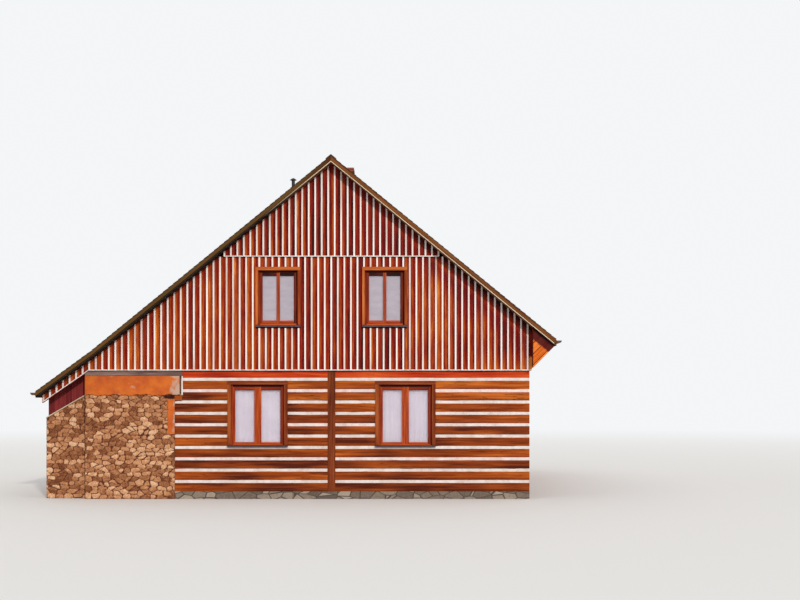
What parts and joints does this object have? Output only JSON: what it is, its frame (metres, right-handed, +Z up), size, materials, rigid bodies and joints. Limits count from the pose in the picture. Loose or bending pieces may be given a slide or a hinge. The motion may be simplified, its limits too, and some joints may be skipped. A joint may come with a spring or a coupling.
{
  "type": "timber and stone farmhouse",
  "caption": "Gabled log and stone farmhouse with board-and-batten gables, an asymmetric pitched roof, a chimney and casement windows.",
  "frame": {"origin": "on the ground, under the middle of the outline of the whole building, roof and gutters included", "axes": "+Z up, -Y out of the front gable that the picture shows, +X to the right as seen from the front"},
  "size_m": [13.107, 13.392, 9.438],
  "materials": {
    "plinth_stone": "rough grey plinth stone",
    "floor_slab": "plain screeded slab",
    "log_wood": "red-brown weathered squared logs",
    "chinking": "white lime mortar",
    "post_wood": "orange-brown timber",
    "plate_wood": "bright red-orange stained timber",
    "grey_timber": "grey weathered timber",
    "rubble": "pinkish-brown rubble masonry",
    "plaster": "orange lime plaster",
    "boarding": "red-brown boards with white cover battens",
    "coping_wood": "pale weathered board",
    "floor_wood": "plain floor boards on beams",
    "roofing": "small dark brown slates",
    "ridge_metal": "folded dark sheet",
    "barge_wood": "brown painted verge boards",
    "strip_wood": "cream painted strip",
    "soffit_wood": "orange-brown boards",
    "gutter_metal": "brown painted sheet",
    "brick": "red brick with pale joints",
    "vent_metal": "near-black sheet",
    "casing_wood": "orange-brown painted boards",
    "sash_wood": "red-brown painted sashes",
    "pane": "clear glass",
    "sill_metal": "grey-purple painted sheet",
    "door_wood": "red-brown boarded door"
  },
  "bodies": {
    "root": {"front_plinth": "plinth_stone", "right_plinth": "plinth_stone", "back_plinth": "plinth_stone", "ground_floor": "floor_slab", "front_logs": "log_wood", "right_logs": "log_wood", "back_logs": "log_wood", "front_chinking": "chinking", "right_chinking": "chinking", "back_chinking": "chinking", "gable_posts": "post_wood", "front_top_plate": "plate_wood", "right_top_plate": "plate_wood", "back_top_plate": "plate_wood", "annex_plates": "grey_timber", "annex_front_wall": "rubble", "annex_back_wall": "rubble", "left_wall": "rubble", "wing_walls": "rubble", "wing_infill": "boarding", "wing_copings": "coping_wood", "plaster_bands": "plaster", "attic_floor": "floor_wood", "right_knee_wall": "boarding", "front_gable_lower": "boarding", "front_gable_upper": "boarding", "back_gable_lower": "boarding", "back_gable_upper": "boarding", "verge_skirts": "boarding", "roof_left": "roofing", "roof_right": "roofing", "ridge_cap": "ridge_metal", "bargeboards": "barge_wood", "verge_strips": "strip_wood", "eaves_box": "soffit_wood", "gutters": "gutter_metal", "chimney": "brick", "vent_pipe": "vent_metal", "ground_casings": "casing_wood", "attic_casings": "casing_wood", "ground_sashes": "sash_wood", "attic_sashes": "sash_wood", "ground_glass": "pane", "attic_glass": "pane", "window_sills": "sill_metal", "door_frame": "casing_wood", "door_leaf": "door_wood"}
  },
  "joints": []
}
